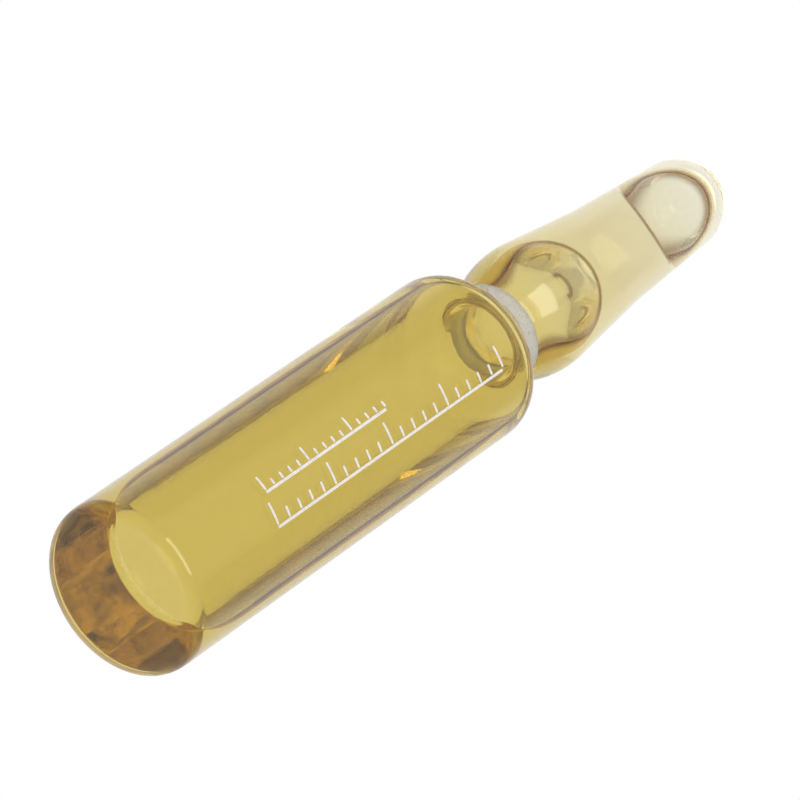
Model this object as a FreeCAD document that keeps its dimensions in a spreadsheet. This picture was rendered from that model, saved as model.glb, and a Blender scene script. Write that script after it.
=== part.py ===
import FreeCAD, Part
import math
import os
import Sketcher

# A sealed glass ampoule that stands on its flat base, in millimetres.
# The origin is the centre of the base, +Z runs along the axis to the sealed tip, and -Y is
# the side that carries the printed marks. The ampoule holds a liquid as it lies when the
# ampoule rests on its side with the marks up: one long pocket of air runs along the -Y side
# of the body, through the neck and into the bulb, and a second one fills the tip.

doc = FreeCAD.newDocument("glass_ampoule")
sheet = doc.addObject("Spreadsheet::Sheet", "Sizes")

# Driving dimensions: alias, value, meaning
DIMENSIONS = [
    ("body_radius", 5.375, "outer radius of the body tube"),
    ("body_length", 33.46, "base to the corner between body and shoulder"),
    ("base_reach", 1.1, "length that the base corner's rounding takes from each side"),
    ("shoulder_lean", 63.5, "angle of the shoulder's cone from the axis, in degrees"),
    ("shoulder_reach", 1.07, "length that the shoulder's rounding takes from each side"),
    ("neck_radius", 3.15, "outer radius of the neck"),
    ("neck_length", 2.05, "shoulder's cone to the start of the flare"),
    ("neck_foot_reach", 0.6, "length that the rounding at the neck's foot takes from each side"),
    ("neck_top_reach", 0.3, "length that the rounding at the neck's top takes from each side"),
    ("flare_length", 2.38, "start of the flare to the corner that the bulb's crown rounds off"),
    ("bulb_radius", 4.36, "radius of that corner about the axis"),
    ("bulb_reach", 2.28, "length that the crown's rounding takes from each side"),
    ("taper_length", 9.0, "bulb's corner to the start of the stem"),
    ("stem_radius", 3.38, "outer radius of the stem there"),
    ("stem_reach", 0.8, "length that the rounding between taper and stem takes from each side"),
    ("stem_length", 8.9, "start of the stem to the corner where it turns in to the tip"),
    ("tip_radius", 2.9, "outer radius of the stem at that corner"),
    ("tip_reach", 0.44, "length that the tip's rounding takes from each side"),
    ("tip_length", 2.6, "that corner to the top of the sealed tip"),
    ("dome_inset", 0.1, "how much smaller the tip's round end is than the stem at the corner"),
    ("base_glass", 0.62, "glass of the base"),
    ("body_glass", 0.48, "glass of the body tube and the shoulder"),
    ("floor_reach", 0.8, "length that the rounding between floor and bore takes from each side"),
    ("neck_glass", 0.62, "glass of the neck"),
    ("bulb_glass", 0.56, "glass of the bulb at its crown"),
    ("stem_glass", 0.35, "glass of the stem"),
    ("tip_glass", 0.8, "glass of the tip at the axis"),
    ("bevel_share", 0.6, "bevel inside a rounding, as a share of the rounding's reach"),
    ("ring_width", 1.12, "width of the break ring along the axis"),
    ("ring_enamel", 0.07, "thickness of the fired enamel of the break ring"),
    ("ring_gap", 0.08, "plain neck between the ring and the start of the flare"),
    ("pocket_radius", 4.4, "radius of the long air pocket's round section"),
    ("pocket_rise", 2.4, "distance of the pocket's middle from the axis, towards -Y"),
    ("pocket_foot", 6.0, "height above the floor over which the pocket narrows down to it"),
    ("footprint_radius", 4.7, "radius of the edge of the air where it touches the floor"),
    ("footprint_rise", 6.2, "distance of that edge's middle from the axis, towards -Y"),
    ("pocket_bevel", 1.0, "bevel of the pocket's upper end, at the shoulder"),
    ("passage_radius", 1.95, "radius of the air passage through the neck"),
    ("passage_rise", 0.6, "distance of that passage's middle from the axis, towards -Y"),
    ("bulb_air_radius", 3.0, "radius of the air's round end in the bulb"),
    ("bulb_air_rise", 1.5, "distance of that end's middle from the axis, towards -Y"),
    ("bulb_air_above", 1.56, "height of that middle above the bulb's corner"),
    ("tip_air_depth", 4.4, "how far below the tip's corner the liquid's end crosses the axis"),
    ("meniscus_radius", 14.0, "radius of that end's hollow surface"),
    ("meniscus_tilt", 52.0, "slant of that end from square across the stem, in degrees"),
]

sheet.set("A1", "size")
sheet.set("B1", "value")
sheet.set("C1", "meaning")
for row, (alias, number, meaning) in enumerate(DIMENSIONS, start=2):
    sheet.set(f"A{row}", alias)
    sheet.set(f"B{row}", str(number))
    sheet.set(f"C{row}", meaning)
    sheet.setAlias(f"B{row}", alias)
doc.recompute()

# The sketcher's own numbers for a sketch's axes and for the points of a line or curve
ORIGIN, HORIZONTAL_AXIS, VERTICAL_AXIS = -1, -1, -2
START, END, CENTRE = range(1, 4)
ACROSS = FreeCAD.Vector(0, 0, 1)


def worth(expression):
    """What an expression comes to now, so that a sketch is drawn where it will be held."""
    value = sheet.evalExpression(expression)
    return float(getattr(value, "Value", value))


def new_body(name):
    body = doc.addObject("PartDesign::Body", name)
    body.Label = name
    return body


def new_sketch(body, name, role="XZ_Plane"):
    """An empty sketch on one of the planes of the body's own origin."""
    plane = next(item for item in body.Origin.OriginFeatures if item.Role == role)
    sketch = body.newObject("Sketcher::SketchObject", name)
    sketch.AttachmentSupport = [(plane, "")]
    sketch.MapMode = "FlatFace"
    return sketch


def tie(sketch, *constraint):
    """Adds a constraint, given as its kind and geometry."""
    return sketch.addConstraint(Sketcher.Constraint(*constraint))


def hold(sketch, name, expression, *place):
    """Adds a named dimension, given as its kind and geometry, and ties it to the sheet."""
    sketch.renameConstraint(tie(sketch, *place, worth(expression)), name)
    sketch.setExpression(f"Constraints.{name}", expression)


def angle_of(vector):
    return math.atan2(vector.y, vector.x)


def round_corner(sketch, before, corner, after, reach):
    """Draws the curve that rounds a corner between two runs, from reach before it to reach
    after it. Its three poles are its two ends and the corner itself. Gives back the curve
    and the point that holds the corner."""
    first = corner + (before - corner).normalize() * worth(reach)
    last = corner + (after - corner).normalize() * worth(reach)
    curve = Part.BSplineCurve()
    curve.buildFromPoles([first, corner, last], False, 2)
    drawn = sketch.addGeometry(curve)
    poles = [
        sketch.addGeometry(Part.Circle(pole, ACROSS, 1), True) for pole in (first, corner, last)
    ]
    for number, pole in enumerate(poles):
        tie(
            sketch, "InternalAlignment:Sketcher::BSplineControlPoint", pole, CENTRE, drawn, number
        )
    tie(sketch, "Weight", poles[0], 1.0)
    tie(sketch, "Equal", poles[0], poles[1])
    tie(sketch, "Equal", poles[0], poles[2])
    return drawn, (poles[1], CENTRE)


def bevel_corner(sketch, before, corner, after, reach):
    """Draws the straight bevel that takes a corner off, as round_corner draws its curve."""
    first = corner + (before - corner).normalize() * worth(reach)
    last = corner + (after - corner).normalize() * worth(reach)
    drawn = sketch.addGeometry(Part.LineSegment(first, last))
    return drawn, (sketch.addGeometry(Part.Point(corner), True), START)


def turned_outline(sketch, corners, dome, soften):
    """Draws half of a turned section: straight runs between softened corners, and a round
    dome on the axis at the top. corners lists a name, a radius, a height and the reach of
    its softening for each corner, from the bottom upwards; the bottom is flat. dome is the
    dome's radius and the height of its top, and soften draws a rounding or a bevel."""
    places = [FreeCAD.Vector(worth(radius), worth(height), 0) for _, radius, height, _ in corners]
    dome_radius, dome_top = dome
    ball = worth(dome_radius)
    ball_centre = FreeCAD.Vector(0, worth(dome_top) - ball, 0)
    to_ball = ball_centre - places[-1]
    lean = math.asin(ball / to_ball.Length)
    heading = angle_of(to_ball) - lean
    run = math.sqrt(to_ball.Length**2 - ball**2)
    touch = places[-1] + FreeCAD.Vector(math.cos(heading), math.sin(heading), 0) * run
    path = [FreeCAD.Vector(0, places[0].y, 0)] + places + [touch]

    softened = [
        soften(sketch, path[i - 1], path[i], path[i + 1], reach)
        for i, (_, _, _, reach) in enumerate(corners, start=1)
    ]
    run_ends = [path[0]]
    for drawn, _ in softened:
        run_ends += [sketch.Geometry[drawn].StartPoint, sketch.Geometry[drawn].EndPoint]
    run_ends.append(touch)
    runs = [
        sketch.addGeometry(Part.LineSegment(run_ends[i], run_ends[i + 1]))
        for i in range(0, len(run_ends), 2)
    ]
    ball_circle = Part.Circle(ball_centre, ACROSS, ball)
    cap = sketch.addGeometry(
        Part.ArcOfCircle(ball_circle, angle_of(touch - ball_centre), math.pi / 2)
    )
    top = ball_centre + FreeCAD.Vector(0, ball, 0)
    spine = sketch.addGeometry(Part.LineSegment(top, path[0]))

    tie(sketch, "PointOnObject", runs[0], START, VERTICAL_AXIS)
    tie(sketch, "Horizontal", runs[0])
    for i, (name, radius, height, reach) in enumerate(corners):
        drawn, corner = softened[i]
        tie(sketch, "Coincident", runs[i], END, drawn, START)
        tie(sketch, "Coincident", drawn, END, runs[i + 1], START)
        tie(sketch, "PointOnObject", *corner, runs[i])
        tie(sketch, "PointOnObject", *corner, runs[i + 1])
        hold(sketch, f"{name}_radius", radius, "DistanceX", ORIGIN, START, *corner)
        if worth(height) > 0:
            hold(sketch, f"{name}_height", height, "DistanceY", ORIGIN, START, *corner)
        else:
            tie(sketch, "PointOnObject", *corner, HORIZONTAL_AXIS)
        hold(sketch, f"{name}_before", reach, "Distance", *corner, runs[i], END)
        hold(sketch, f"{name}_after", reach, "Distance", *corner, runs[i + 1], START)
    tie(sketch, "Tangent", runs[-1], END, cap, START)
    tie(sketch, "PointOnObject", cap, CENTRE, VERTICAL_AXIS)
    tie(sketch, "PointOnObject", cap, END, VERTICAL_AXIS)
    hold(sketch, "dome_radius", dome_radius, "Radius", cap)
    hold(sketch, "dome_top", dome_top, "DistanceY", ORIGIN, START, cap, END)
    tie(sketch, "Coincident", spine, START, cap, END)
    tie(sketch, "Coincident", spine, END, runs[0], START)


def turn(body, sketch, name):
    """Revolves the body's sketch about the ampoule's axis."""
    feature = body.newObject("PartDesign::Revolution", name)
    feature.Profile = sketch
    feature.ReferenceAxis = (sketch, ["V_Axis"])
    feature.Angle = 360.0
    return feature


def air_circle(body, name, radius, rise, height):
    """A circle square to the axis, its middle shifted towards -Y, that bounds some air."""
    sketch = new_sketch(body, name, "XY_Plane")
    middle = FreeCAD.Vector(0, -worth(rise), 0)
    circle = sketch.addGeometry(Part.Circle(middle, ACROSS, worth(radius)))
    tie(sketch, "PointOnObject", circle, CENTRE, VERTICAL_AXIS)
    hold(sketch, "radius", radius, "Radius", circle)
    hold(sketch, "rise", rise, "DistanceY", circle, CENTRE, ORIGIN, START)
    sketch.setExpression(".AttachmentOffset.Base.z", height)
    return sketch


# Heights of the outside's corners, each from the one below it
NECK_FOOT = (
    "Sizes.body_length + (Sizes.body_radius - Sizes.neck_radius) / tan(Sizes.shoulder_lean)"
)
NECK_TOP = NECK_FOOT + " + Sizes.neck_length"
BULB = NECK_TOP + " + Sizes.flare_length"
STEM = BULB + " + Sizes.taper_length"
TIP = STEM + " + Sizes.stem_length"
TOP = TIP + " + Sizes.tip_length"

# The blank: the outside of the blown tube, from the flat base to the sealed tip
blank = new_body("blank")
outside = new_sketch(blank, "outside_section")
DOME_RADIUS = "Sizes.tip_radius - Sizes.dome_inset"
turned_outline(
    outside,
    [
        ("base", "Sizes.body_radius", "0", "Sizes.base_reach"),
        ("shoulder", "Sizes.body_radius", "Sizes.body_length", "Sizes.shoulder_reach"),
        ("neck_foot", "Sizes.neck_radius", NECK_FOOT, "Sizes.neck_foot_reach"),
        ("neck_top", "Sizes.neck_radius", NECK_TOP, "Sizes.neck_top_reach"),
        ("bulb", "Sizes.bulb_radius", BULB, "Sizes.bulb_reach"),
        ("stem", "Sizes.stem_radius", STEM, "Sizes.stem_reach"),
        ("tip", "Sizes.tip_radius", TIP, "Sizes.tip_reach"),
    ],
    (DOME_RADIUS, TOP),
    round_corner,
)
turn(blank, outside, "turned_outside")

# The bore: everything inside the glass, which follows the outside at each wall's thickness.
# Inside the shoulder's cone the wall is measured square to the cone, so both of its corners
# shift along the axis and their roundings would shrink or grow with the wall. A bevel that
# keeps close to each rounding stands for it, because it is seen only through the glass.
bore = new_body("bore")
inside = new_sketch(bore, "inside_section")
BORE_RADIUS = "Sizes.body_radius - Sizes.body_glass"
NECK_BORE = "Sizes.neck_radius - Sizes.neck_glass"
CONE_DROP = "Sizes.body_glass / cos(Sizes.shoulder_lean)"
ROUND_SHIFT = "Sizes.body_glass * tan(Sizes.shoulder_lean / 2)"
INNER_SHOULDER = (
    f"Sizes.body_length + (Sizes.body_glass - {CONE_DROP}) / tan(Sizes.shoulder_lean)"
)
INNER_NECK_FOOT = f"{NECK_FOOT} + (Sizes.neck_glass - {CONE_DROP}) / tan(Sizes.shoulder_lean)"
INNER_CORNERS = [
    ("floor", BORE_RADIUS, "Sizes.base_glass", "Sizes.floor_reach"),
    ("shoulder", BORE_RADIUS, INNER_SHOULDER, f"Sizes.shoulder_reach - {ROUND_SHIFT}"),
    ("neck_foot", NECK_BORE, INNER_NECK_FOOT, f"Sizes.neck_foot_reach + {ROUND_SHIFT}"),
    ("neck_top", NECK_BORE, NECK_TOP, "Sizes.neck_top_reach"),
    ("bulb", "Sizes.bulb_radius - Sizes.bulb_glass", BULB, "Sizes.bulb_reach"),
    ("stem", "Sizes.stem_radius - Sizes.stem_glass", STEM, "Sizes.stem_reach"),
    ("tip", "Sizes.tip_radius - Sizes.stem_glass", TIP, "Sizes.tip_reach"),
]
turned_outline(
    inside,
    [
        (name, radius, height, f"({reach}) * Sizes.bevel_share")
        for name, radius, height, reach in INNER_CORNERS
    ],
    (f"{DOME_RADIUS} - Sizes.stem_glass", f"{TOP} - Sizes.tip_glass"),
    bevel_corner,
)
turn(bore, inside, "turned_inside")

# The glass is the blank less its bore
glass = doc.addObject("Part::Cut", "glass_ampoule")
glass.Label = "glass_ampoule"
glass.Base = blank
glass.Tool = bore

# The break ring: a band of enamel fired onto the straight part of the neck
break_ring = new_body("break_ring")
band = new_sketch(break_ring, "band_section")
RING_TOP = f"{NECK_TOP} - Sizes.ring_gap"
low_left = FreeCAD.Vector(worth("Sizes.neck_radius"), worth(f"{RING_TOP} - Sizes.ring_width"), 0)
right = FreeCAD.Vector(worth("Sizes.ring_enamel"), 0, 0)
up = FreeCAD.Vector(0, worth("Sizes.ring_width"), 0)
outline = [low_left, low_left + right, low_left + right + up, low_left + up]
for i in range(4):
    band.addGeometry(Part.LineSegment(outline[i], outline[(i + 1) % 4]))
for i in range(4):
    tie(band, "Coincident", i, END, (i + 1) % 4, START)
    tie(band, "Horizontal" if i % 2 == 0 else "Vertical", i)
hold(band, "seat", "Sizes.neck_radius", "DistanceX", ORIGIN, START, 3, START)
hold(band, "top", RING_TOP, "DistanceY", ORIGIN, START, 3, START)
hold(band, "enamel", "Sizes.ring_enamel", "DistanceX", 0, START, 0, END)
hold(band, "width", "Sizes.ring_width", "DistanceY", 1, START, 1, END)
turn(break_ring, band, "turned_band")

# The long air pocket in the body is a round bar of air, of which the bore keeps what lies
# inside it. The liquid climbs the floor, so the bar narrows to a smaller footprint there,
# and its upper end is bevelled at the shoulder.
POCKET_FOOT = "Sizes.base_glass + Sizes.pocket_foot"
long_pocket = new_body("long_pocket")
footprint = air_circle(
    long_pocket, "footprint", "Sizes.footprint_radius", "Sizes.footprint_rise", "Sizes.base_glass"
)
section = air_circle(
    long_pocket, "pocket_section", "Sizes.pocket_radius", "Sizes.pocket_rise", POCKET_FOOT
)
foot = long_pocket.newObject("PartDesign::AdditiveLoft", "pocket_foot")
foot.Profile = footprint
foot.Sections = [section]
foot.Ruled = True
bar = long_pocket.newObject("PartDesign::Pad", "pocket_bar")
bar.Profile = section
bar.setExpression("Length", f"{INNER_SHOULDER} - ({POCKET_FOOT})")
doc.recompute()
upper_edge = max(range(len(bar.Shape.Edges)), key=lambda i: bar.Shape.Edges[i].BoundBox.ZMin)
bevel = long_pocket.newObject("PartDesign::Chamfer", "pocket_bevel")
bevel.Base = (bar, [f"Edge{upper_edge + 1}"])
bevel.setExpression("Size", "Sizes.pocket_bevel")

# The air passage through the neck joins the long pocket to the bulb's air
passage = doc.addObject("Part::Cylinder", "neck_passage")
passage.setExpression("Radius", "Sizes.passage_radius")
passage.setExpression("Height", f"{NECK_TOP} - Sizes.body_length + Sizes.pocket_bevel")
passage.setExpression(".Placement.Base.y", "-Sizes.passage_rise")
passage.setExpression(".Placement.Base.z", "Sizes.body_length - Sizes.pocket_bevel")

# The bulb's air widens with the flare, leans towards the marked side, where it meets the
# glass, and ends in a half ball
BULB_AIR = f"{BULB} + Sizes.bulb_air_above"
flare_air = new_body("flare_air")
flare_start = air_circle(
    flare_air, "flare_start", "Sizes.passage_radius", "Sizes.passage_rise", NECK_TOP
)
flare_end = air_circle(
    flare_air, "flare_end", "Sizes.bulb_air_radius", "Sizes.bulb_air_rise", BULB_AIR
)
widening = flare_air.newObject("PartDesign::AdditiveLoft", "widening")
widening.Profile = flare_start
widening.Sections = [flare_end]
widening.Ruled = True
bulb_air = doc.addObject("Part::Sphere", "bulb_air")
bulb_air.Angle1 = 0.0
bulb_air.setExpression("Radius", "Sizes.bulb_air_radius")
bulb_air.setExpression(".Placement.Base.y", "-Sizes.bulb_air_rise")
bulb_air.setExpression(".Placement.Base.z", BULB_AIR)

# The tip's air pocket is closed below by a slanting hollow surface of the liquid, which is
# higher on the far side of the stem, and above by the sealed tip
tip_air = doc.addObject("Part::Sphere", "tip_air")
tip_air.setExpression("Radius", "Sizes.meniscus_radius")
tip_air.setExpression(".Placement.Base.y", "-Sizes.meniscus_radius * sin(Sizes.meniscus_tilt)")
tip_air.setExpression(
    ".Placement.Base.z",
    f"{TIP} - Sizes.tip_air_depth + Sizes.meniscus_radius * cos(Sizes.meniscus_tilt)",
)

air = doc.addObject("Part::MultiFuse", "air")
air.Shapes = [long_pocket, passage, flare_air, bulb_air, tip_air]

# The liquid fills the bore around the air
liquid = doc.addObject("Part::Cut", "liquid")
liquid.Label = "liquid"
liquid.Base = bore
liquid.Tool = air

doc.recompute()

# Check every object and sub-part, then write the sub-parts
for item in doc.Objects:
    if "Invalid" in item.State or "Error" in item.State:
        raise RuntimeError(f"{item.Name} failed: {item.State}")
SUB_PARTS = [glass, break_ring, liquid]
for item in SUB_PARTS:
    if item.Shape.isNull() or not item.Shape.isValid():
        raise RuntimeError(f"{item.Label} has no valid shape")

os.makedirs("parts", exist_ok=True)
for item in SUB_PARTS:
    item.Shape.exportStep(f"parts/{item.Label}.step")
    box = item.Shape.BoundBox
    print(
        f"{item.Label}: {len(item.Shape.Solids)} solid, {item.Shape.Volume:.2f} mm3,"
        f" z {box.ZMin:.2f} to {box.ZMax:.2f}"
    )
for item in (outside, inside, band, footprint, section, flare_start, flare_end):
    print(f"{item.Name}: fully constrained {item.FullyConstrained}")
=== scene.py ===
import math

import bmesh
import bpy
from mathutils import Matrix, Vector


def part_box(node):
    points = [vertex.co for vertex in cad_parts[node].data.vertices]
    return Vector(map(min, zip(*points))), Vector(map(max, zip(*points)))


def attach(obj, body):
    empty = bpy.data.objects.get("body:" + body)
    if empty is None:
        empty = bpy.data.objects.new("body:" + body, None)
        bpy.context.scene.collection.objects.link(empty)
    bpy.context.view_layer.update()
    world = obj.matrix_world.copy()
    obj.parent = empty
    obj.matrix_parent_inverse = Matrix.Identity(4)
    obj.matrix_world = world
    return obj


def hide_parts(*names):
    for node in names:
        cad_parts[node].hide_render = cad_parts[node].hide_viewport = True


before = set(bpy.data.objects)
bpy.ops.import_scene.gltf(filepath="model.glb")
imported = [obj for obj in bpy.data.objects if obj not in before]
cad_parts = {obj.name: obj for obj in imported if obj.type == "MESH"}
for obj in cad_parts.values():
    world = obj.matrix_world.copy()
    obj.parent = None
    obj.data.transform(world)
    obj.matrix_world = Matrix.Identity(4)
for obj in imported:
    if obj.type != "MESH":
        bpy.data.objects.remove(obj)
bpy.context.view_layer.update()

# The view. The camera looks up at the round base from below, half way between the axis and
# level, from over a third of a metre away, and is rolled so that the ampoule's axis climbs
# to the right in the picture.
AIM = Vector((0.00006, 0.0, 0.0269))
VIEW_DISTANCE = 0.3763
VIEW_BELOW_LEVEL = math.radians(44.893)
AXIS_CLIMB = math.radians(34.83)
LENS = 289.22

looking = Vector((0.0, math.cos(VIEW_BELOW_LEVEL), math.sin(VIEW_BELOW_LEVEL)))
along_axis = Vector((0.0, -looking.z, looking.y))
across_axis = Vector((1.0, 0.0, 0.0))
to_right = along_axis * math.cos(AXIS_CLIMB) + across_axis * math.sin(AXIS_CLIMB)
upward = along_axis * math.sin(AXIS_CLIMB) - across_axis * math.cos(AXIS_CLIMB)
camera = bpy.data.objects.new("camera", bpy.data.cameras.new("camera"))
camera.data.lens = LENS
camera.data.clip_start = 0.01
turned = Matrix((to_right, upward, -looking)).transposed().to_4x4()
camera.matrix_world = Matrix.Translation(AIM - looking * VIEW_DISTANCE) @ turned
bpy.context.scene.collection.objects.link(camera)
bpy.context.scene.camera = camera
bpy.context.scene.view_settings.view_transform = "Standard"

# The glass: one piece of amber tube, flat at the base, drawn in at the shoulder and neck,
# blown out to a bulb and sealed to a round tip in the flame. Sizes are in millimetres.
MM = 0.001
BODY_RADIUS, NECK_RADIUS, BULB_RADIUS, STEM_RADIUS, TIP_RADIUS = 5.375, 3.15, 4.36, 3.38, 2.9
BASE_GLASS, BODY_GLASS, NECK_GLASS = 0.62, 0.48, 0.62
BULB_GLASS, STEM_GLASS, TIP_GLASS = 0.56, 0.35, 0.8
BODY_TOP = 33.46
LEAN = math.radians(63.5)
BASE_REACH, SHOULDER_REACH, NECK_FOOT_REACH, NECK_TOP_REACH = 1.1, 1.07, 0.6, 0.3
BULB_REACH, STEM_REACH, TIP_REACH = 2.28, 0.8, 0.44
FLOOR_REACH = 0.5
NECK_FOOT = BODY_TOP + (BODY_RADIUS - NECK_RADIUS) / math.tan(LEAN)
NECK_TOP = NECK_FOOT + 2.05
BULB = NECK_TOP + 2.38
STEM = BULB + 9.0
TIP = STEM + 8.9
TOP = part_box("glass_ampoule")[1].z / MM
DOME_RADIUS = TIP_RADIUS - 0.1
CONE_DROP = BODY_GLASS / math.cos(LEAN)
ROUND_SHIFT = BODY_GLASS * math.tan(LEAN / 2)
RUN_STEP = 1.0


def place(name, made):
    """Puts a finished bmesh, in millimetres, into the scene as an object in metres."""
    mesh = bpy.data.meshes.new(name)
    made.to_mesh(mesh)
    made.free()
    mesh.transform(Matrix.Scale(MM, 4))
    piece = bpy.data.objects.new(name, mesh)
    bpy.context.scene.collection.objects.link(piece)
    return piece


def join_rings(made, rings):
    """Walls between rings of points, each to the next."""
    around = len(rings[0])
    for low, high in zip(rings, rings[1:]):
        for k in range(around):
            after = (k + 1) % around
            made.faces.new((low[k], low[after], high[after], high[k]))


def round_ring(made, height, radius, rise, around):
    return [
        made.verts.new((
            radius * math.cos(2 * math.pi * k / around),
            radius * math.sin(2 * math.pi * k / around) - rise,
            height,
        ))
        for k in range(around)
    ]


def rounded_outline(corners, dome_radius, dome_top):
    """Half a turned section from the axis at the bottom to the axis at the top, as radius
    and height: straight runs, a curve at each corner (radius, height, reach of the
    rounding) and a round dome."""
    steps = 12
    places = [Vector((radius, height)) for radius, height, _ in corners]
    centre = Vector((0.0, dome_top - dome_radius))
    to_centre = centre - places[-1]
    heading = math.atan2(to_centre.y, to_centre.x) - math.asin(dome_radius / to_centre.length)
    run = math.sqrt(to_centre.length**2 - dome_radius**2)
    touch = places[-1] + Vector((math.cos(heading), math.sin(heading))) * run
    path = [Vector((0.0, places[0].y))] + places + [touch]
    outline = [path[0]]
    for i, (_, _, reach) in enumerate(corners, start=1):
        first = path[i] + (path[i - 1] - path[i]).normalized() * reach
        last = path[i] + (path[i + 1] - path[i]).normalized() * reach
        start = outline[-1]
        parts = math.ceil((first - start).length / RUN_STEP)
        outline += [start.lerp(first, j / parts) for j in range(1, parts)]
        for j in range(steps + 1):
            share = j / steps
            outline.append(
                first * (1 - share) ** 2 + path[i] * 2 * share * (1 - share) + last * share**2
            )
    begin = math.atan2(touch.y - centre.y, touch.x - centre.x)
    for j in range(2 * steps):
        angle = begin + (math.pi / 2 - begin) * j / (2 * steps)
        outline.append(centre + Vector((math.cos(angle), math.sin(angle))) * dome_radius)
    outline.append(Vector((0.0, dome_top)))
    return outline


def turn(outline, around=192):
    """A closed mesh turned about the axis from an outline that starts and ends on it."""
    made = bmesh.new()
    rings = [round_ring(made, point.y, point.x, 0.0, around) for point in outline[1:-1]]
    join_rings(made, rings)
    bottom = made.verts.new((0.0, 0.0, outline[0].y))
    top = made.verts.new((0.0, 0.0, outline[-1].y))
    for k in range(around):
        after = (k + 1) % around
        made.faces.new((bottom, rings[0][after], rings[0][k]))
        made.faces.new((rings[-1][k], rings[-1][after], top))
    return made


glass_made = turn(rounded_outline(
    [
        (BODY_RADIUS, 0.0, BASE_REACH),
        (BODY_RADIUS, BODY_TOP, SHOULDER_REACH),
        (NECK_RADIUS, NECK_FOOT, NECK_FOOT_REACH),
        (NECK_RADIUS, NECK_TOP, NECK_TOP_REACH),
        (BULB_RADIUS, BULB, BULB_REACH),
        (STEM_RADIUS, STEM, STEM_REACH),
        (TIP_RADIUS, TIP, TIP_REACH),
    ],
    DOME_RADIUS,
    TOP,
))

# The air inside decides where the glass is wet. The ampoule was filled, sealed and laid on
# its side: one long pocket of air lies along the marked side of the body, touches the floor
# and runs through the neck into the bulb, and a second one stays in the tip.
POCKET_RADIUS, POCKET_RISE = 4.4, 2.4
FOOTPRINT_RADIUS, FOOTPRINT_RISE = 4.7, 6.2
FOOTPRINT_SUNK = 0.3
POCKET_FOOT = 6.0
POCKET_END = BODY_TOP - 2.0
PASSAGE_RADIUS, PASSAGE_RISE = 2.2, 0.75
BALL_RADIUS, BALL_RISE = 3.0, 1.5
BALL_HEIGHT = BULB + 1.56
MENISCUS_RADIUS, MENISCUS_TILT = 14.0, math.radians(52)
MENISCUS_DOWN = -MENISCUS_RADIUS * math.sin(MENISCUS_TILT)
TIP_AIR_DEPTH = 4.4
MENISCUS_UP = TIP - TIP_AIR_DEPTH + MENISCUS_RADIUS * math.cos(MENISCUS_TILT)
TIP_AIR_RADIUS, TIP_AIR_RISE = 2.45, 0.65
TIP_AIR_HEIGHT, TIP_AIR_REACH = 53.0, 5.1
TIP_AIR_BELOW = 8.0


def ease(share):
    return share * share * (3 - 2 * share)


def closed_pocket(sections):
    """A pocket of air from its round sections, each a height, a radius and a rise."""
    made = bmesh.new()
    rings = [round_ring(made, *section, around=128) for section in sections]
    join_rings(made, rings)
    made.faces.new(rings[0][::-1])
    made.faces.new(rings[-1])
    return made


def round_end(height, radius, rise, reach, steps=24):
    """Sections that close a pocket with half an oval, from its full width outwards."""
    angles = [math.pi / 2 * j / steps for j in range(1, steps)]
    return [(height + reach * math.sin(a), radius * math.cos(a), rise) for a in angles]


def long_pocket():
    """The pocket from its footprint on the floor through the neck to its round end."""
    sections = [(BASE_GLASS - FOOTPRINT_SUNK, FOOTPRINT_RADIUS, FOOTPRINT_RISE)]
    steps = 24
    for j in range(steps + 1):
        share = j / steps
        narrow = 0.5 * math.sqrt(share) * (1.5 - 0.5 * share) + 0.5 * (1 - (1 - share) ** 2)
        sections.append((
            BASE_GLASS + POCKET_FOOT * share,
            FOOTPRINT_RADIUS + (POCKET_RADIUS - FOOTPRINT_RADIUS) * narrow,
            FOOTPRINT_RISE + (POCKET_RISE - FOOTPRINT_RISE) * narrow,
        ))
    for j in range(steps + 1):
        share = j / steps
        sections.append((
            POCKET_END + (NECK_FOOT - POCKET_END) * share,
            POCKET_RADIUS + (PASSAGE_RADIUS - POCKET_RADIUS) * ease(share),
            POCKET_RISE + (PASSAGE_RISE - POCKET_RISE) * ease(share),
        ))
    for j in range(steps + 1):
        share = j / steps
        sections.append((
            NECK_TOP + (BALL_HEIGHT - NECK_TOP) * share,
            PASSAGE_RADIUS + (BALL_RADIUS - PASSAGE_RADIUS) * math.sin(share * math.pi / 2),
            PASSAGE_RISE + (BALL_RISE - PASSAGE_RISE) * ease(share),
        ))
    return closed_pocket(
        sections + round_end(BALL_HEIGHT, BALL_RADIUS, BALL_RISE, BALL_RADIUS)
    )


def tip_bubble():
    """The bubble in the tip: round at its upper end, and cut off by the bowed, tilted surface
    of the liquid in the stem."""
    sections = [
        (TIP_AIR_HEIGHT - TIP_AIR_BELOW, TIP_AIR_RADIUS, TIP_AIR_RISE),
        (TIP_AIR_HEIGHT, TIP_AIR_RADIUS, TIP_AIR_RISE),
    ]
    bubble = place("tip_bubble", closed_pocket(
        sections + round_end(TIP_AIR_HEIGHT, TIP_AIR_RADIUS, TIP_AIR_RISE, TIP_AIR_REACH)
    ))
    made = bmesh.new()
    bmesh.ops.create_icosphere(made, subdivisions=6, radius=MENISCUS_RADIUS)
    bmesh.ops.translate(made, verts=made.verts, vec=(0.0, MENISCUS_DOWN, MENISCUS_UP))
    surface = place("tip_surface", made)
    cut = bubble.modifiers.new("tip_surface", "BOOLEAN")
    cut.operation = "INTERSECT"
    cut.solver = "EXACT"
    cut.object = surface
    graph = bpy.context.evaluated_depsgraph_get()
    bubble.data = bpy.data.meshes.new_from_object(bubble.evaluated_get(graph))
    bubble.modifiers.clear()
    bpy.data.objects.remove(surface)
    return bubble


air = [place("long_pocket", long_pocket()), tip_bubble()]


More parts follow.
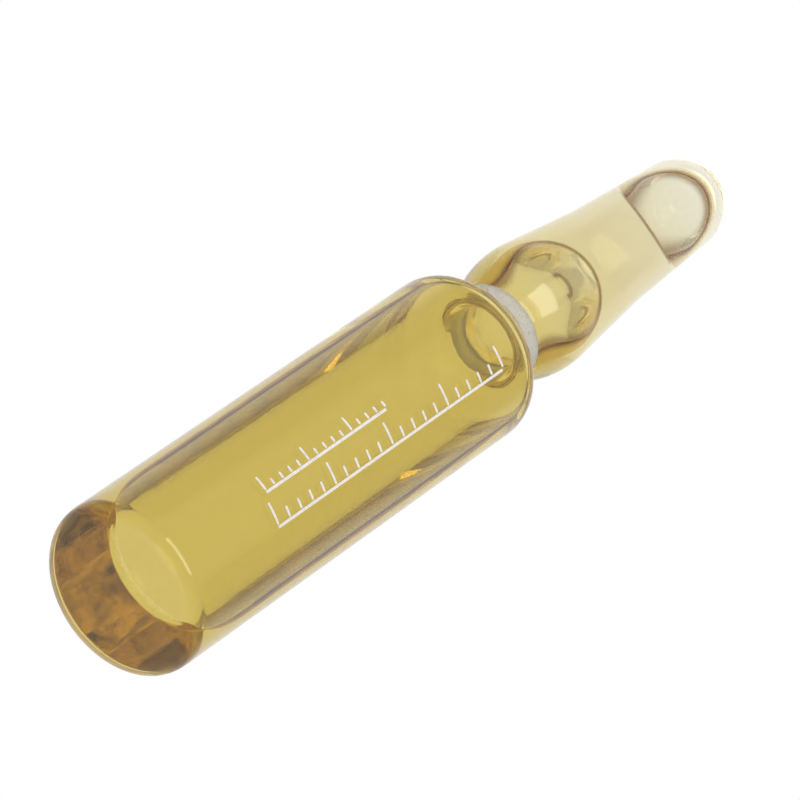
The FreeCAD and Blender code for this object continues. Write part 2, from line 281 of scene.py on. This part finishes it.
def bore(shrink=0.0):
    """The inside of the glass, or that drawn in all over by shrink."""
    return turn(rounded_outline(
        [
            (BODY_RADIUS - BODY_GLASS - shrink, BASE_GLASS + shrink, FLOOR_REACH),
            (
                BODY_RADIUS - BODY_GLASS - shrink,
                BODY_TOP + (BODY_GLASS - CONE_DROP) / math.tan(LEAN) - shrink,
                SHOULDER_REACH - ROUND_SHIFT,
            ),
            (
                NECK_RADIUS - NECK_GLASS - shrink,
                NECK_FOOT + (NECK_GLASS - CONE_DROP) / math.tan(LEAN) - shrink,
                NECK_FOOT_REACH + ROUND_SHIFT,
            ),
            (NECK_RADIUS - NECK_GLASS - shrink, NECK_TOP, NECK_TOP_REACH),
            (BULB_RADIUS - BULB_GLASS - shrink, BULB, BULB_REACH),
            (STEM_RADIUS - STEM_GLASS - shrink, STEM, STEM_REACH),
            (TIP_RADIUS - STEM_GLASS - shrink, TIP, TIP_REACH),
        ],
        DOME_RADIUS - STEM_GLASS - shrink,
        TOP - TIP_GLASS - shrink,
    ))


def cut_by_air(body, operation):
    """The body less the air, or the air inside it, as a new mesh in metres. Its faces keep
    material 0 where they come from the body and get 1 where they come from the air."""
    for solid in [body] + air:
        solid.data.materials.clear()
        for number in range(2):
            solid.data.materials.append(None)
        solid.data.polygons.foreach_set(
            "material_index", [0 if solid is body else 1] * len(solid.data.polygons)
        )
    results = []
    groups = [air] if operation == "DIFFERENCE" else [[pocket] for pocket in air]
    for group in groups:
        for pocket in group:
            cut = body.modifiers.new(pocket.name, "BOOLEAN")
            cut.operation = operation
            cut.solver = "EXACT"
            cut.object = pocket
        graph = bpy.context.evaluated_depsgraph_get()
        results.append(bpy.data.meshes.new_from_object(body.evaluated_get(graph)))
        body.modifiers.clear()
    return results


def keep_faces(made, mesh, number, wet):
    """Adds the faces of one material of a mesh to the inside of the glass, marked as wet or
    dry."""
    found = {}
    for polygon in mesh.polygons:
        if polygon.material_index != number:
            continue
        corners = []
        for index in polygon.vertices:
            if index not in found:
                found[index] = made.verts.new(mesh.vertices[index].co / MM)
            corners.append(found[index])
        face = made.faces.new(corners[::-1])
        face[wet_layer] = wet
        face[inner_layer] = 1.0


wet_layer = glass_made.faces.layers.float.new("wet")
inner_layer = glass_made.faces.layers.float.new("inner")
inside = place("inside", bore())
wet_part = cut_by_air(inside, "DIFFERENCE")
dry_part = cut_by_air(inside, "INTERSECT")
for mesh in wet_part:
    keep_faces(glass_made, mesh, 0, 1.0)
for mesh in dry_part:
    keep_faces(glass_made, mesh, 0, 0.0)
bmesh.ops.remove_doubles(glass_made, verts=glass_made.verts, dist=1e-5)
bpy.data.objects.remove(inside)
glass = place("blown_glass", glass_made)
glass.data.shade_smooth()

# Painted light: the colours of the glow that stands in for light lost in long paths through the
# glass and the liquid.
PAINTED_GLOW_TIP = (0.5, 0.46, 0.36, 1.0)
PAINTED_GLOW_DARK, PAINTED_GLOW_LIGHT = (0.05, 0.035, 0.03, 1.0), (0.33, 0.24, 0.1, 1.0)


def paint_glow_when_lost(material, shader):
    """Light that is mirrored to and fro in the glass or liquid more often than is followed would
    end as black. There the surface glows with painted light in place of the light it would give
    back: amber and in uneven patches in the body, pale in the tip."""
    nodes, links = material.node_tree.nodes, material.node_tree.links
    path = nodes.new("ShaderNodeLightPath")
    mirrored = nodes.new("ShaderNodeMath")
    mirrored.operation = "GREATER_THAN"
    mirrored.inputs[1].default_value = 3.5
    links.new(path.outputs["Glossy Depth"], mirrored.inputs[0])
    followed = nodes.new("ShaderNodeMath")
    followed.operation = "GREATER_THAN"
    followed.inputs[1].default_value = 11.5
    links.new(path.outputs["Ray Depth"], followed.inputs[0])
    either = nodes.new("ShaderNodeMath")
    either.operation = "MAXIMUM"
    links.new(mirrored.outputs["Value"], either.inputs[0])
    links.new(followed.outputs["Value"], either.inputs[1])
    where = nodes.new("ShaderNodeTexCoord")
    blocks = nodes.new("ShaderNodeTexVoronoi")
    blocks.distance = "CHEBYCHEV"
    blocks.inputs["Scale"].default_value = 700.0
    links.new(where.outputs["Object"], blocks.inputs["Vector"])
    streaks = nodes.new("ShaderNodeTexNoise")
    streaks.inputs["Scale"].default_value = 1300.0
    streaks.inputs["Detail"].default_value = 4.0
    links.new(where.outputs["Object"], streaks.inputs["Vector"])
    patches = nodes.new("ShaderNodeMix")
    patches.data_type = "RGBA"
    patches.inputs["Factor"].default_value = 0.45
    links.new(blocks.outputs["Color"], patches.inputs["A"])
    links.new(streaks.outputs["Fac"], patches.inputs["B"])
    painted_glow_ramp = nodes.new("ShaderNodeValToRGB")
    painted_glow_ramp.color_ramp.elements[0].position = 0.25
    painted_glow_ramp.color_ramp.elements[0].color = PAINTED_GLOW_DARK
    painted_glow_ramp.color_ramp.elements[1].position = 0.65
    painted_glow_ramp.color_ramp.elements[1].color = PAINTED_GLOW_LIGHT
    links.new(patches.outputs["Result"], painted_glow_ramp.inputs["Fac"])
    heights = nodes.new("ShaderNodeSeparateXYZ")
    links.new(where.outputs["Object"], heights.inputs["Vector"])
    upward = nodes.new("ShaderNodeMapRange")
    upward.inputs["From Min"].default_value = NECK_TOP * MM
    upward.inputs["From Max"].default_value = (BULB + 5.0) * MM
    links.new(heights.outputs["Z"], upward.inputs["Value"])
    paler = nodes.new("ShaderNodeMix")
    paler.data_type = "RGBA"
    paler.inputs["B"].default_value = PAINTED_GLOW_TIP
    links.new(upward.outputs["Result"], paler.inputs["Factor"])
    links.new(painted_glow_ramp.outputs["Color"], paler.inputs["A"])
    links.new(paler.outputs["Result"], shader.inputs["Emission Color"])
    links.new(either.outputs["Value"], shader.inputs["Emission Strength"])


GLASS_BEND, LIQUID_BEND = 1.51, 1.34
BODY_TINT = (0.76, 0.657, 0.24, 1.0)
amber = bpy.data.materials.new("amber_glass")
amber.use_nodes = True
nodes, links = amber.node_tree.nodes, amber.node_tree.links
shader = nodes["Principled BSDF"]
shader.inputs["Transmission Weight"].default_value = 1.0
shader.inputs["Roughness"].default_value = 0.0
place_in_glass = nodes.new("ShaderNodeTexCoord")
heights = nodes.new("ShaderNodeSeparateXYZ")
links.new(place_in_glass.outputs["Object"], heights.inputs["Vector"])
upward = nodes.new("ShaderNodeMapRange")
upward.inputs["From Max"].default_value = TOP * MM
links.new(heights.outputs["Z"], upward.inputs["Value"])
fade = nodes.new("ShaderNodeValToRGB")
fade.color_ramp.elements[0].color = (0.82, 0.73, 0.36, 1.0)
fade.color_ramp.elements[1].color = (0.97, 0.96, 0.93, 1.0)
for height, tint in (
    (BASE_REACH, BODY_TINT),
    (NECK_TOP - 1.5, BODY_TINT),
    (BULB + 3.0, (0.845, 0.774, 0.5, 1.0)),
    (STEM, (0.85, 0.79, 0.58, 1.0)),
    (TIP - 1.5, (0.88, 0.85, 0.7, 1.0)),
):
    fade.color_ramp.elements.new(height / TOP).color = tint
links.new(upward.outputs["Result"], fade.inputs["Fac"])

# Painted shade: along the edge of the liquid on the bore, the glass's colour is darkened to a fine
# dark line. It stands in for the shade that light bending at the liquid's edge draws there, and it
# fades out over a short height near the base. All lengths here are in millimetres.
SHADE_LINE_EDGE, SHADE_LINE_CORE = 0.2, 0.04
SHADE_LINE_FADES = 1.5
EDGE_SHADE_TINT = (0.22, 0.12, 0.05, 1.0)
in_mm = nodes.new("ShaderNodeVectorMath")
in_mm.operation = "SCALE"
in_mm.inputs["Scale"].default_value = 1 / MM
links.new(place_in_glass.outputs["Object"], in_mm.inputs[0])
parts_in_mm = nodes.new("ShaderNodeSeparateXYZ")
links.new(in_mm.outputs["Vector"], parts_in_mm.inputs["Vector"])


def worked_out(operation, first, second):
    """A Math node's result from two sockets or numbers."""
    node = nodes.new("ShaderNodeMath")
    node.operation = operation
    for number, value in enumerate((first, second)):
        if isinstance(value, bpy.types.NodeSocket):
            links.new(value, node.inputs[number])
        else:
            node.inputs[number].default_value = value
    return node.outputs["Value"]


def changing(low, high, first, last, smooth=True):
    """A number that goes from first to last as the height goes from low to high."""
    node = nodes.new("ShaderNodeMapRange")
    node.interpolation_type = "SMOOTHSTEP" if smooth else "LINEAR"
    for name, value in zip(("From Min", "From Max", "To Min", "To Max"), (low, high, first, last)):
        node.inputs[name].default_value = value
    links.new(parts_in_mm.outputs["Z"], node.inputs["Value"])
    return node.outputs["Result"]


def off_pocket(rise, radius, height, squash):
    """How far, in millimetres, a point is outside a pocket of air: a tube up to a height, and
    above it a ball squashed or stretched along the axis."""
    squashed = nodes.new("ShaderNodeCombineXYZ")
    links.new(parts_in_mm.outputs["X"], squashed.inputs["X"])
    links.new(worked_out("ADD", parts_in_mm.outputs["Y"], rise), squashed.inputs["Y"])
    above = worked_out("SUBTRACT", parts_in_mm.outputs["Z"], height)
    over_end = worked_out("MULTIPLY", worked_out("MAXIMUM", above, 0.0), squash)
    links.new(over_end, squashed.inputs["Z"])
    reach = nodes.new("ShaderNodeVectorMath")
    reach.operation = "LENGTH"
    links.new(squashed.outputs["Vector"], reach.inputs[0])
    return worked_out("SUBTRACT", reach.outputs["Value"], radius)


pocket_rise = worked_out(
    "ADD",
    changing(POCKET_END, NECK_FOOT, POCKET_RISE, PASSAGE_RISE),
    changing(NECK_TOP, BALL_HEIGHT, 0.0, BALL_RISE - PASSAGE_RISE),
)
flaring = worked_out("SINE", changing(NECK_TOP, BALL_HEIGHT, 0.0, math.pi / 2, False), 0.0)
pocket_radius = worked_out(
    "ADD",
    changing(POCKET_END, NECK_FOOT, POCKET_RADIUS, PASSAGE_RADIUS),
    worked_out("MULTIPLY", flaring, BALL_RADIUS - PASSAGE_RADIUS),
)
off_long_pocket = worked_out(
    "ABSOLUTE", off_pocket(pocket_rise, pocket_radius, BALL_HEIGHT, 1.0), 0.0
)
above_foot = worked_out(
    "ADD", off_long_pocket, changing(POCKET_FOOT - SHADE_LINE_FADES, POCKET_FOOT, 1.0, 0.0, False)
)
from_surface = nodes.new("ShaderNodeVectorMath")
from_surface.operation = "DISTANCE"
from_surface.inputs[1].default_value = (0.0, MENISCUS_DOWN, MENISCUS_UP)
links.new(in_mm.outputs["Vector"], from_surface.inputs[0])
off_tip_air = worked_out("ABSOLUTE", worked_out(
    "MAXIMUM",
    worked_out("SUBTRACT", from_surface.outputs["Value"], MENISCUS_RADIUS),
    off_pocket(TIP_AIR_RISE, TIP_AIR_RADIUS, TIP_AIR_HEIGHT, TIP_AIR_RADIUS / TIP_AIR_REACH),
), 0.0)
nearest = worked_out("MINIMUM", above_foot, off_tip_air)
# Painted shade: a fine dark line in the glass's colour, where the bore meets the edge of the
# liquid.
painted_edge_shade = nodes.new("ShaderNodeMapRange")
painted_edge_shade.interpolation_type = "SMOOTHSTEP"
painted_edge_shade.inputs["From Min"].default_value = SHADE_LINE_EDGE
painted_edge_shade.inputs["From Max"].default_value = SHADE_LINE_CORE
links.new(nearest, painted_edge_shade.inputs["Value"])
inner = nodes.new("ShaderNodeAttribute")
inner.attribute_name = "inner"
# The painted shade is multiplied into the glass's colour on the bore only.
painted_shade_mix = nodes.new("ShaderNodeMix")
painted_shade_mix.data_type = "RGBA"
painted_shade_mix.blend_type = "MULTIPLY"
painted_shade_mix.inputs["B"].default_value = EDGE_SHADE_TINT
shade_on_bore = worked_out("MULTIPLY", painted_edge_shade.outputs["Result"], inner.outputs["Fac"])
links.new(shade_on_bore, painted_shade_mix.inputs["Factor"])
links.new(fade.outputs["Color"], painted_shade_mix.inputs["A"])
links.new(painted_shade_mix.outputs["Result"], shader.inputs["Base Color"])
wet = nodes.new("ShaderNodeAttribute")
wet.attribute_name = "wet"
bend = nodes.new("ShaderNodeMix")
bend.inputs["A"].default_value = GLASS_BEND
bend.inputs["B"].default_value = GLASS_BEND / LIQUID_BEND
links.new(wet.outputs["Fac"], bend.inputs["Factor"])
links.new(bend.outputs["Result"], shader.inputs["IOR"])
waves = nodes.new("ShaderNodeTexNoise")
waves.inputs["Scale"].default_value = 260.0
waves.inputs["Detail"].default_value = 3.0
links.new(place_in_glass.outputs["Object"], waves.inputs["Vector"])
drawn_tube = nodes.new("ShaderNodeBump")
drawn_tube.inputs["Strength"].default_value = 0.5
drawn_tube.inputs["Distance"].default_value = 0.03 * MM
links.new(waves.outputs["Fac"], drawn_tube.inputs["Height"])
links.new(drawn_tube.outputs["Normal"], shader.inputs["Normal"])
# The glass glows with painted light where its paths are cut short.
paint_glow_when_lost(amber, shader)
glass.data.materials.append(amber)
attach(glass, "root")
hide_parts("glass_ampoule")

# The liquid fills the bore around the air. Where it touches the glass, the glass already
# bends the light for both, so only its free surfaces against the air are seen.
FILM_GAP = 0.01
whole = place("whole_fill", bore(FILM_GAP))
liquid = place("liquid_fill", bmesh.new())
liquid.data = cut_by_air(whole, "DIFFERENCE")[0]
bpy.data.objects.remove(whole)
for pocket in air:
    bpy.data.objects.remove(pocket)
liquid.data.shade_smooth()
liquid.data.set_sharp_from_angle(angle=math.radians(35))

skin = bpy.data.materials.new("wetted_skin")
skin.use_nodes = True
nodes, links = skin.node_tree.nodes, skin.node_tree.links
clear = nodes.new("ShaderNodeBsdfTransparent")
links.new(clear.outputs["BSDF"], nodes["Material Output"].inputs["Surface"])
water = bpy.data.materials.new("clear_liquid")
water.use_nodes = True
shader = water.node_tree.nodes["Principled BSDF"]
shader.inputs["Transmission Weight"].default_value = 1.0
shader.inputs["Roughness"].default_value = 0.0
shader.inputs["IOR"].default_value = LIQUID_BEND
shader.inputs["Base Color"].default_value = (1.0, 1.0, 1.0, 1.0)
# The liquid glows with painted light where its paths are cut short.
paint_glow_when_lost(water, shader)
liquid.data.materials[0] = skin
liquid.data.materials[1] = water
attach(liquid, "root")
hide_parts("liquid")

# The break ring: a band of white glass enamel, printed round the neck and fired on. It marks
# the place where the neck snaps. It is grainy, a little translucent, uneven at its edges and
# pitted along its middle.
RING_FOOT, RING_TOP = 35.46, 36.6
RING_ENAMEL = 0.07
RING_STRAY = 0.03
RING_POINTS = 320
# The band's section, as shares of the enamel's thickness and of the band's width.
RING_SECTION = (
    (0.006, 0.0), (0.75, 0.0), (1.0, 0.09), (1.0, 0.5), (1.0, 0.91), (0.75, 1.0), (0.006, 1.0)
)


def uneven(angle, seed):
    """How far an edge of the band strays from its line, in shares from -1 to 1."""
    return (
        math.sin(7 * angle + seed) + 0.7 * math.sin(17 * angle + 2.1 * seed)
        + 0.5 * math.sin(41 * angle + 3.7 * seed)
    ) / 2.2


ring_made = bmesh.new()
rings = []
for thick, share in RING_SECTION:
    points = []
    for k in range(RING_POINTS):
        angle = 2 * math.pi * k / RING_POINTS
        foot = RING_FOOT + RING_STRAY * uneven(angle, 1.0)
        top = RING_TOP + RING_STRAY * uneven(angle, 4.0)
        radius = NECK_RADIUS + RING_ENAMEL * thick
        points.append(ring_made.verts.new((
            radius * math.cos(angle), radius * math.sin(angle), foot + (top - foot) * share
        )))
    rings.append(points)
join_rings(ring_made, rings + rings[:1])
ring = place("enamel_band", ring_made)
ring.data.shade_smooth()

enamel = bpy.data.materials.new("fired_enamel")
enamel.use_nodes = True
nodes, links = enamel.node_tree.nodes, enamel.node_tree.links
shader = nodes["Principled BSDF"]
where = nodes.new("ShaderNodeTexCoord")
grain = nodes.new("ShaderNodeTexNoise")
grain.inputs["Scale"].default_value = 5200.0
grain.inputs["Detail"].default_value = 5.0
links.new(where.outputs["Object"], grain.inputs["Vector"])
shade = nodes.new("ShaderNodeValToRGB")
shade.color_ramp.elements[0].position = 0.3
shade.color_ramp.elements[0].color = (0.78, 0.75, 0.7, 1.0)
shade.color_ramp.elements[1].position = 0.6
shade.color_ramp.elements[1].color = (0.97, 0.95, 0.92, 1.0)
links.new(grain.outputs["Fac"], shade.inputs["Fac"])
links.new(shade.outputs["Color"], shader.inputs["Base Color"])
shader.inputs["Roughness"].default_value = 0.5
grit = nodes.new("ShaderNodeBump")
grit.inputs["Strength"].default_value = 0.6
grit.inputs["Distance"].default_value = 0.02 * MM
links.new(grain.outputs["Fac"], grit.inputs["Height"])
links.new(grit.outputs["Normal"], shader.inputs["Normal"])
let_through = nodes.new("ShaderNodeBsdfTranslucent")
let_through.inputs["Color"].default_value = (0.96, 0.94, 0.9, 1.0)
cloudy = nodes.new("ShaderNodeMixShader")
cloudy.inputs["Fac"].default_value = 0.55
links.new(shader.outputs["BSDF"], cloudy.inputs[1])
links.new(let_through.outputs["BSDF"], cloudy.inputs[2])
heights = nodes.new("ShaderNodeSeparateXYZ")
links.new(where.outputs["Object"], heights.inputs["Vector"])
off_middle = nodes.new("ShaderNodeMath")
off_middle.operation = "SUBTRACT"
off_middle.inputs[1].default_value = (RING_FOOT + RING_TOP) / 2 * MM
links.new(heights.outputs["Z"], off_middle.inputs[0])
distance = nodes.new("ShaderNodeMath")
distance.operation = "ABSOLUTE"
links.new(off_middle.outputs["Value"], distance.inputs[0])
along_middle = nodes.new("ShaderNodeMapRange")
along_middle.inputs["From Min"].default_value = 0.08 * MM
along_middle.inputs["From Max"].default_value = 0.34 * MM
along_middle.inputs["To Min"].default_value = 0.34
along_middle.inputs["To Max"].default_value = 0.0
links.new(distance.outputs["Value"], along_middle.inputs["Value"])
cells = nodes.new("ShaderNodeTexVoronoi")
cells.inputs["Scale"].default_value = 5200.0
links.new(where.outputs["Object"], cells.inputs["Vector"])
pit = nodes.new("ShaderNodeMath")
pit.operation = "LESS_THAN"
links.new(cells.outputs["Distance"], pit.inputs[0])
links.new(along_middle.outputs["Result"], pit.inputs[1])
half_open = nodes.new("ShaderNodeMapRange")
half_open.inputs["To Min"].default_value = 0.15
half_open.inputs["To Max"].default_value = 0.85
links.new(pit.outputs["Value"], half_open.inputs["Value"])
see_through = nodes.new("ShaderNodeBsdfTransparent")
pitted = nodes.new("ShaderNodeMixShader")
links.new(half_open.outputs["Result"], pitted.inputs["Fac"])
links.new(cloudy.outputs["Shader"], pitted.inputs[1])
links.new(see_through.outputs["BSDF"], pitted.inputs[2])
links.new(pitted.outputs["Shader"], nodes["Material Output"].inputs["Surface"])
ring.data.materials.append(enamel)
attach(ring, "root")
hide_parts("break_ring")

# The printed marks: two plain scales in white ceramic ink, laid on the body through a screen
# and fired on with the enamel, a hair thick. Each is a fine line with cross strokes.
INK, INK_LIFT = 0.02, 0.004
STROKE, STROKE_GAP = 0.17, 0.04
SHORT_STROKE = 0.55
LONG_EVERY = 5
# Each row: its first and last height, its middle across the body, the long strokes' length,
# and the step from one stroke to the next.
ROWS = ((8.3, 30.3, 1.36, 1.6, 1.1), (8.7, 20.2, -0.45, 1.14, 0.82))


def stroke_stations(length):
    """A stroke with round ends, as places along it and its half width at each."""
    half = STROKE / 2
    turns = [math.pi / 2 * j / 4 for j in range(1, 5)]
    ends = [(length / 2 - half * (1 - math.cos(t)), half * math.sin(t)) for t in turns]
    plain = max(1, math.ceil((length - STROKE) / 0.3))
    run = [((length / 2 - half) * (1 - 2 * j / plain), half) for j in range(1, plain)]
    return ends + run + [(-at, width) for at, width in ends[::-1]]


def on_body(across, height, above):
    """A point at a distance across the marked side of the body, on its round surface."""
    angle = across / BODY_RADIUS
    radius = BODY_RADIUS + above
    return (radius * math.sin(angle), -radius * math.cos(angle), height)


def print_stroke(made, across, height, length, along):
    """One stroke of ink centred on a place on the body, laid along it or across it."""
    sections = []
    for at, width in stroke_stations(length):
        section = []
        for side, above in ((-1, INK_LIFT), (1, INK_LIFT), (1, INK), (-1, INK)):
            beside = side * width
            spot = (across - beside, height + at) if along else (across + at, height + beside)
            section.append(made.verts.new(on_body(*spot, above)))
        sections.append(section)
    join_rings(made, sections)
    made.faces.new(sections[0][::-1])
    made.faces.new(sections[-1])


print_made = bmesh.new()
for first, last, middle_across, length, step in ROWS:
    line_across = middle_across + length / 2 - STROKE / 2
    print_stroke(print_made, line_across, (first + last) / 2, last - first, True)
    for number in range(int((last - first) / step) + 1):
        whole_length = length if number % LONG_EVERY == 0 else SHORT_STROKE * length
        reach = whole_length - STROKE - STROKE_GAP
        middle = line_across - STROKE / 2 - STROKE_GAP - reach / 2
        print_stroke(print_made, middle, first + STROKE / 2 + number * step, reach, False)
bmesh.ops.recalc_face_normals(print_made, faces=print_made.faces)
marks = place("printed_marks", print_made)

ink = bpy.data.materials.new("white_ink")
ink.use_nodes = True
nodes, links = ink.node_tree.nodes, ink.node_tree.links
shader = nodes["Principled BSDF"]
where = nodes.new("ShaderNodeTexCoord")
grain = nodes.new("ShaderNodeTexNoise")
grain.inputs["Scale"].default_value = 6000.0
grain.inputs["Detail"].default_value = 3.0
links.new(where.outputs["Object"], grain.inputs["Vector"])
shade = nodes.new("ShaderNodeValToRGB")
shade.color_ramp.elements[0].position = 0.3
shade.color_ramp.elements[0].color = (0.66, 0.62, 0.56, 1.0)
shade.color_ramp.elements[1].position = 0.55
shade.color_ramp.elements[1].color = (0.82, 0.79, 0.76, 1.0)
links.new(grain.outputs["Fac"], shade.inputs["Fac"])
links.new(shade.outputs["Color"], shader.inputs["Base Color"])
shader.inputs["Roughness"].default_value = 0.55
grit = nodes.new("ShaderNodeBump")
grit.inputs["Strength"].default_value = 0.4
grit.inputs["Distance"].default_value = 0.01 * MM
links.new(grain.outputs["Fac"], grit.inputs["Height"])
links.new(grit.outputs["Normal"], shader.inputs["Normal"])
marks.data.materials.append(ink)
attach(marks, "root")

# The studio: a white floor that can't be seen from below, even white light from all sides and
# one soft window of light in front of the marked side, which the bulb mirrors.
FLOOR_HALF = 1000.0
floor_made = bmesh.new()
bmesh.ops.create_grid(floor_made, x_segments=1, y_segments=1, size=FLOOR_HALF)
floor = place("floor", floor_made)
paper = bpy.data.materials.new("white_floor")
paper.use_nodes = True
nodes, links = paper.node_tree.nodes, paper.node_tree.links
nodes["Principled BSDF"].inputs["Base Color"].default_value = (0.9, 0.9, 0.9, 1.0)
nodes["Principled BSDF"].inputs["Roughness"].default_value = 0.9
path = nodes.new("ShaderNodeLightPath")
seen_in_glass = nodes.new("ShaderNodeMath")
seen_in_glass.operation = "MAXIMUM"
links.new(path.outputs["Is Glossy Ray"], seen_in_glass.inputs[0])
links.new(path.outputs["Is Transmission Ray"], seen_in_glass.inputs[1])
white = nodes.new("ShaderNodeEmission")
lit = nodes.new("ShaderNodeMixShader")
links.new(seen_in_glass.outputs["Value"], lit.inputs["Fac"])
links.new(nodes["Principled BSDF"].outputs["BSDF"], lit.inputs[1])
links.new(white.outputs["Emission"], lit.inputs[2])
side = nodes.new("ShaderNodeNewGeometry")
clear = nodes.new("ShaderNodeBsdfTransparent")
choose = nodes.new("ShaderNodeMixShader")
links.new(side.outputs["Backfacing"], choose.inputs["Fac"])
links.new(lit.outputs["Shader"], choose.inputs[1])
links.new(clear.outputs["BSDF"], choose.inputs[2])
links.new(choose.outputs["Shader"], nodes["Material Output"].inputs["Surface"])
floor.data.materials.append(paper)

window = bpy.data.objects.new("window", bpy.data.lights.new("window", "AREA"))
window.data.shape = "RECTANGLE"
window.data.size = 0.85
window.data.size_y = 0.42
window.data.energy = 3.0
facing = Vector((0.05, -1.0, 0.16))
window.location = facing
window.rotation_euler = (-facing).to_track_quat("-Z", "Z").to_euler()
bpy.context.scene.collection.objects.link(window)

# Through glass the surroundings are bright behind the ampoule, a little darker all round that
# and bright again at the sides and near the floor. That draws the dark bands of the body.
DARK_AROUND = 0.68
world = bpy.data.worlds.new("studio")
bpy.context.scene.world = world
world.use_nodes = True
nodes, links = world.node_tree.nodes, world.node_tree.links
path = nodes.new("ShaderNodeLightPath")
dimmer = nodes.new("ShaderNodeMapRange")
dimmer.inputs["To Min"].default_value = 1.0
dimmer.inputs["To Max"].default_value = 0.85
links.new(path.outputs["Is Diffuse Ray"], dimmer.inputs["Value"])
way = nodes.new("ShaderNodeTexCoord")
from_field = nodes.new("ShaderNodeVectorMath")
from_field.operation = "DOT_PRODUCT"
from_field.inputs[1].default_value = looking
links.new(way.outputs["Generated"], from_field.inputs[0])
field = nodes.new("ShaderNodeValToRGB")
field.color_ramp.interpolation = "EASE"
field.color_ramp.elements[0].color = (1.0, 1.0, 1.0, 1.0)
field.color_ramp.elements[0].position = 0.02
field.color_ramp.elements[1].color = (1.0, 1.0, 1.0, 1.0)
field.color_ramp.elements[1].position = 0.66
for position in (0.2, 0.45):
    field.color_ramp.elements.new(position).color = (DARK_AROUND, DARK_AROUND, DARK_AROUND, 1.0)
links.new(from_field.outputs["Value"], field.inputs["Fac"])
ups = nodes.new("ShaderNodeSeparateXYZ")
links.new(way.outputs["Generated"], ups.inputs["Vector"])
horizon = nodes.new("ShaderNodeMapRange")
horizon.interpolation_type = "SMOOTHSTEP"
horizon.inputs["From Min"].default_value = 0.3
horizon.inputs["From Max"].default_value = 0.08
links.new(ups.outputs["Z"], horizon.inputs["Value"])
lighter = nodes.new("ShaderNodeMath")
lighter.operation = "MAXIMUM"
links.new(field.outputs["Color"], lighter.inputs[0])
links.new(horizon.outputs["Result"], lighter.inputs[1])
in_glass = nodes.new("ShaderNodeMath")
in_glass.operation = "MAXIMUM"
links.new(path.outputs["Is Glossy Ray"], in_glass.inputs[0])
links.new(path.outputs["Is Transmission Ray"], in_glass.inputs[1])
strength = nodes.new("ShaderNodeMix")
links.new(in_glass.outputs["Value"], strength.inputs["Factor"])
links.new(dimmer.outputs["Result"], strength.inputs["A"])
links.new(lighter.outputs["Value"], strength.inputs["B"])
nodes["Background"].inputs["Color"].default_value = (1.0, 1.0, 1.0, 1.0)
links.new(strength.outputs["Result"], nodes["Background"].inputs["Strength"])
